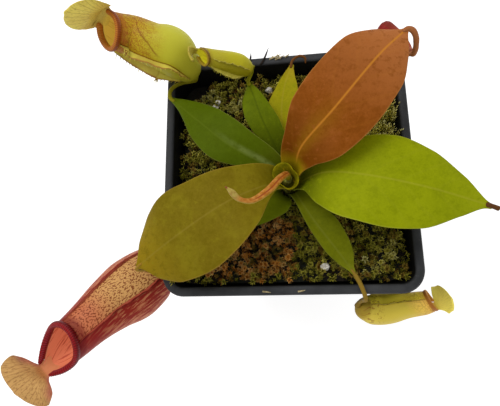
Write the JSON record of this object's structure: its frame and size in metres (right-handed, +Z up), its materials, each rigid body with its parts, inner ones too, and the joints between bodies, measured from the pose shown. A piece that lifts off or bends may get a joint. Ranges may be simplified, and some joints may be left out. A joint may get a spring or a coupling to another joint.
{
  "type": "potted pitcher plant",
  "caption": "Tropical pitcher plant in a small square black nursery pot: broad pointed leaves, hanging hollow pitchers with ribbed lips and lids, and medium covered in moss.",
  "frame": {"origin": "centre of the pot's underside, where it stands", "axes": "+Z up, +X to the right and +Y to the back of the pot as pictured from above"},
  "size_m": [0.1675, 0.1377, 0.1287],
  "materials": {
    "pot": "matte",
    "growing_medium": "matte",
    "moss_orange": "matte",
    "moss_pale": "matte",
    "moss_green": "matte",
    "stem": "matte",
    "leaf_rust": "satin",
    "leaf_bright": "satin",
    "leaf_olive": "satin",
    "leaf_dark": "satin",
    "leaf_mid": "satin",
    "leaf_yellow": "satin",
    "leaf_low_right": "satin",
    "leaf_hidden": "satin",
    "leaf_new": "satin",
    "pitcher_red_cup": "satin",
    "pitcher_red_lip": "gloss",
    "pitcher_red_lid": "satin",
    "pitcher_green_cup": "satin",
    "pitcher_green_lip": "gloss",
    "pitcher_green_lid": "satin",
    "pitcher_small_cup": "satin",
    "pitcher_small_lip": "gloss",
    "pitcher_small_lid": "satin",
    "pitcher_low_cup": "satin",
    "pitcher_low_lip": "gloss",
    "pitcher_low_lid": "satin",
    "pitcher_young": "satin"
  },
  "bodies": {
    "root": {"pot": "pot", "growing_medium": "growing_medium", "moss_orange": "moss_orange", "moss_pale": "moss_pale", "moss_green": "moss_green", "stem": "stem", "leaf_rust": "leaf_rust", "leaf_bright": "leaf_bright", "leaf_olive": "leaf_olive", "leaf_dark": "leaf_dark", "leaf_mid": "leaf_mid", "leaf_yellow": "leaf_yellow", "leaf_low_right": "leaf_low_right", "leaf_hidden": "leaf_hidden", "leaf_new": "leaf_new", "pitcher_red_cup": "pitcher_red_cup", "pitcher_red_lip": "pitcher_red_lip", "pitcher_red_lid": "pitcher_red_lid", "pitcher_green_cup": "pitcher_green_cup", "pitcher_green_lip": "pitcher_green_lip", "pitcher_green_lid": "pitcher_green_lid", "pitcher_small_cup": "pitcher_small_cup", "pitcher_small_lip": "pitcher_small_lip", "pitcher_small_lid": "pitcher_small_lid", "pitcher_low_cup": "pitcher_low_cup", "pitcher_low_lip": "pitcher_low_lip", "pitcher_low_lid": "pitcher_low_lid", "pitcher_young": "pitcher_young"}
  },
  "joints": []
}
